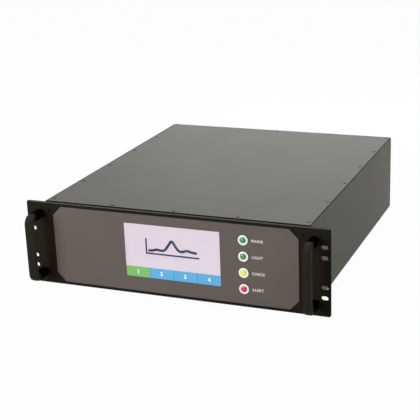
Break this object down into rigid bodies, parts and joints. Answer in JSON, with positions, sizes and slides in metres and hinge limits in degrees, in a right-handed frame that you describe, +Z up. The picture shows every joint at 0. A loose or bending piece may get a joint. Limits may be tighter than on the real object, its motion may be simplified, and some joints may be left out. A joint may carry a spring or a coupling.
{
  "type": "distributed temperature sensing controller",
  "caption": "Grey sheet-metal rack case with a black slotted front panel, raised fascia, touch display, round indicators and bow handles, for reading temperature along optical fibres.",
  "frame": {"origin": "middle of the rack slot pattern, on the rear face of the front panel that meets the rack rails", "axes": "+X to the right seen from the front, +Y from the front panel to the rear of the case, +Z up"},
  "size_m": [0.4826, 0.5545, 0.1324],
  "materials": {
    "panel_black": "fine satin black coat",
    "fascia_grey": "matt warm grey coat",
    "handle_black": "satin black",
    "case_grey": "fine grained matt grey coat",
    "plated_steel": "zinc plated",
    "rail_dark": "dull dark primer",
    "screen_glass": "gloss",
    "screen_module": "lit display",
    "bright_ring": "bright white",
    "lens_green": "tinted lens",
    "lens_yellow": "tinted lens",
    "lens_red": "tinted lens",
    "black_plastic": "matt moulded",
    "adapter_green": "moulded",
    "cap_white": "moulded",
    "terminal_green": "moulded",
    "mill_aluminium": "milled",
    "module_black": "black anodised",
    "standoff_brass": "turned",
    "board_green": "solder mask"
  },
  "bodies": {
    "case": {"front_panel": "panel_black", "fascia_plate": "fascia_grey", "handles": "handle_black", "chassis_tray": "case_grey", "top_cover": "case_grey", "rear_panel": "case_grey", "cover_rail_left": "rail_dark", "cover_rail_right": "rail_dark", "front_bulkhead": "rail_dark", "touch_glass": "screen_glass", "lcd_module": "screen_module", "display_clamp": "plated_steel", "indicator_bezels": "bright_ring", "indicator_lens_1": "lens_green", "indicator_lens_2": "lens_green", "indicator_lens_3": "lens_yellow", "indicator_lens_4": "lens_red", "fan_frame": "black_plastic", "fibre_adapters": "adapter_green", "fibre_cap_1": "cap_white", "fibre_cap_2": "cap_white", "fibre_cap_3": "cap_white", "fibre_cap_4": "cap_white", "power_inlet": "black_plastic", "switch_frame": "black_plastic", "network_port": "plated_steel", "usb_port": "plated_steel", "relay_terminals": "terminal_green", "power_supply": "mill_aluminium", "optics_plate": "mill_aluminium", "laser_module": "module_black", "laser_heatsink": "mill_aluminium", "filter_module": "mill_aluminium", "detector_module_1": "mill_aluminium", "detector_module_2": "mill_aluminium", "optical_switch": "module_black", "reference_coil": "module_black", "board_standoffs": "standoff_brass", "computer_board": "board_green", "computer_heatsink": "mill_aluminium", "acquisition_board": "board_green"},
    "fan": {"fan_rotor": "black_plastic"},
    "rocker": {"power_rocker": "black_plastic"}
  },
  "joints": [
    {"name": "fan_spin", "type": "hinge", "parent": "case", "child": "fan", "pos_m": [-0.14, 0.48, 0], "axis": [0, 1, 0], "continuous": true},
    {"name": "rocker_tilt", "type": "hinge", "parent": "case", "child": "rocker", "pos_m": [0.172, 0.494, 0.024], "axis": [1, 0, 0], "range_deg": [0, 20]}
  ]
}
